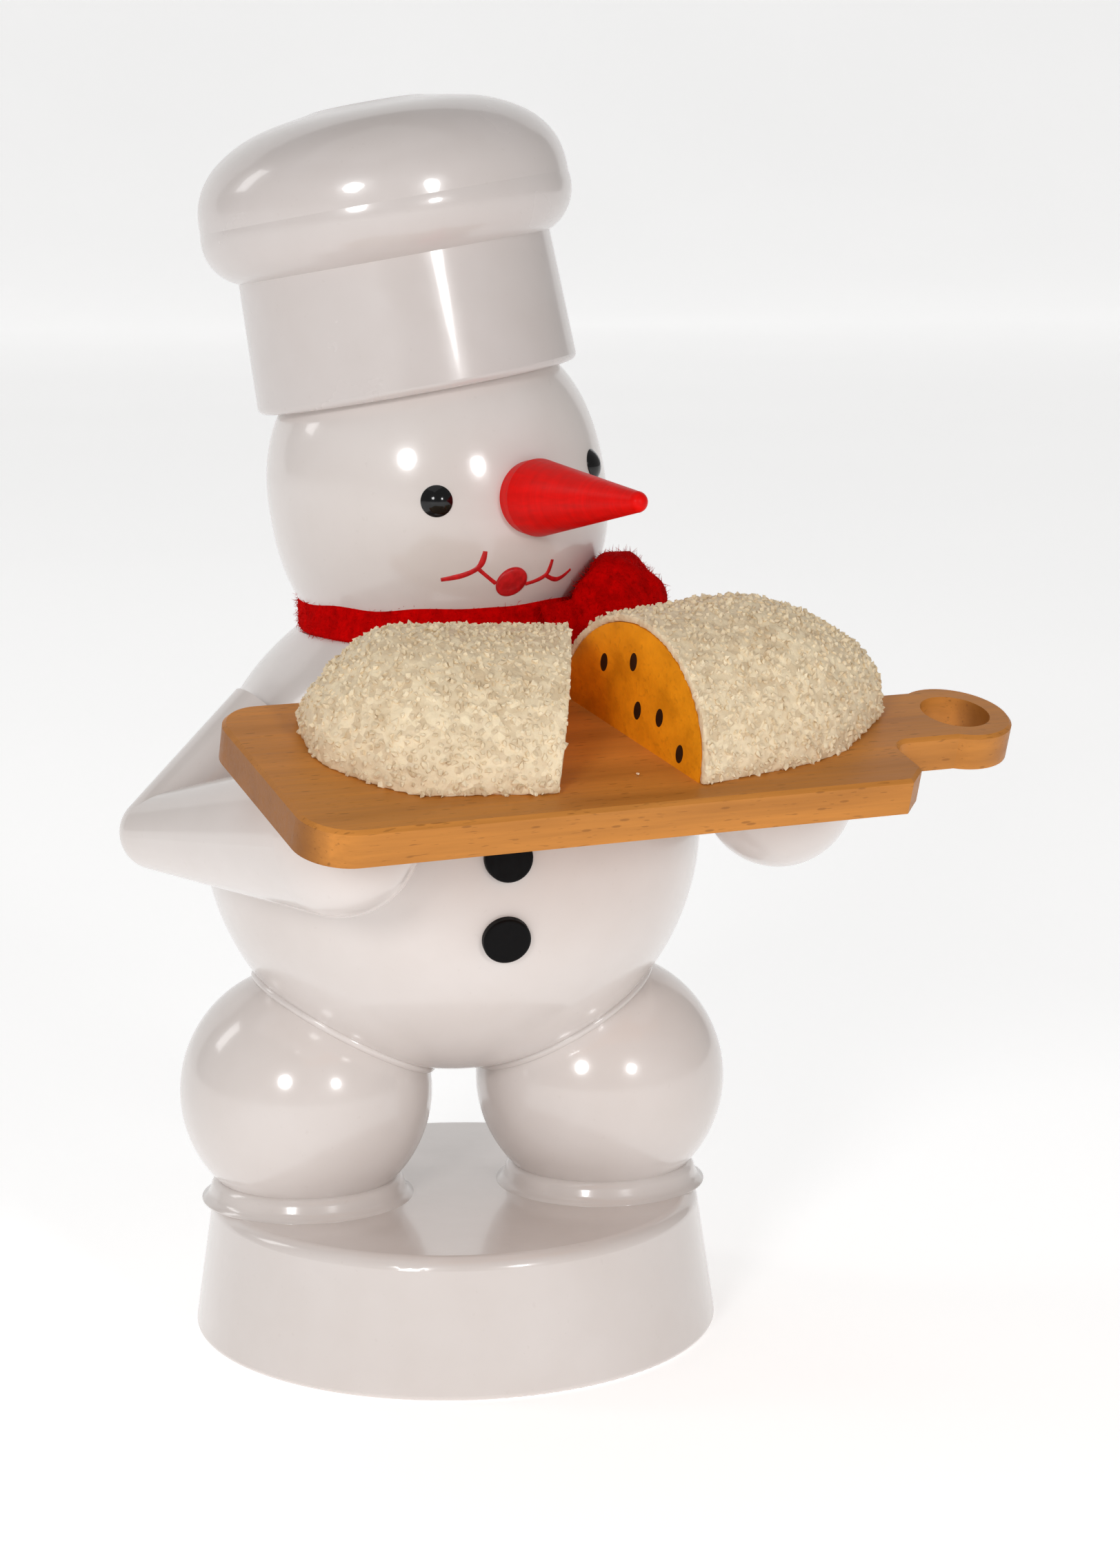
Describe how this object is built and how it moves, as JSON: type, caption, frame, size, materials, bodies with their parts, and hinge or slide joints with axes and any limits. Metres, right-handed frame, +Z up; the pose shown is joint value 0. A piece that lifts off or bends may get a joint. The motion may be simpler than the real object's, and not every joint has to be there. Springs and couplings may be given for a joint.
{
  "type": "wooden snowman figure",
  "caption": "Turned and lacquered wooden snowman in a chef's hat and felt scarf, carrying a carving board with a cut loaf; free-standing seasonal decoration.",
  "frame": {"origin": "middle of the round underside of the base, where the figure stands", "axes": "+Z up, the coat buttons face -Y, the figure's arms and head are turned towards +X"},
  "size_m": [0.055, 0.0517, 0.0799],
  "materials": {
    "white_lacquer": "thick glossy white lacquer over turned wood",
    "hat_lacquer": "glossy white lacquer, slightly cooler",
    "red_lacquer": "satin red stain and lacquer",
    "black_enamel": "glossy black enamel dome",
    "black_paint": "black painted disc",
    "beech": "oiled and waxed beech, long grain",
    "crumb_paint": "ochre stained cut face",
    "sugar_coat": "coarse granulated coat glued to the wood",
    "raisin_paint": "burnt dark spots",
    "dowel_wood": "bare beech",
    "red_felt": "soft red wool felt"
  },
  "bodies": {
    "root": {"base": "white_lacquer", "board": "beech", "body": "white_lacquer", "bottom_button": "black_paint", "chef_hat": "hat_lacquer", "hat_dowel": "dowel_wood", "head": "white_lacquer", "left_eye": "black_enamel", "left_foot_dowel": "dowel_wood", "left_forearm": "white_lacquer", "left_hip_dowel": "dowel_wood", "left_leg": "white_lacquer", "left_loaf_core": "crumb_paint", "left_loaf_crust": "sugar_coat", "left_shoulder_dowel": "dowel_wood", "left_upper_arm": "white_lacquer", "neck_dowel": "dowel_wood", "nose": "red_lacquer", "raisin_1": "raisin_paint", "raisin_2": "raisin_paint", "raisin_3": "raisin_paint", "raisin_4": "raisin_paint", "raisin_5": "raisin_paint", "right_eye": "black_enamel", "right_foot_dowel": "dowel_wood", "right_forearm": "white_lacquer", "right_hip_dowel": "dowel_wood", "right_leg": "white_lacquer", "right_loaf_core": "crumb_paint", "right_loaf_crust": "sugar_coat", "right_shoulder_dowel": "dowel_wood", "right_upper_arm": "white_lacquer", "scarf_band": "red_felt", "scarf_knot": "red_felt", "scarf_tail": "red_felt", "top_button": "black_paint"}
  },
  "joints": []
}
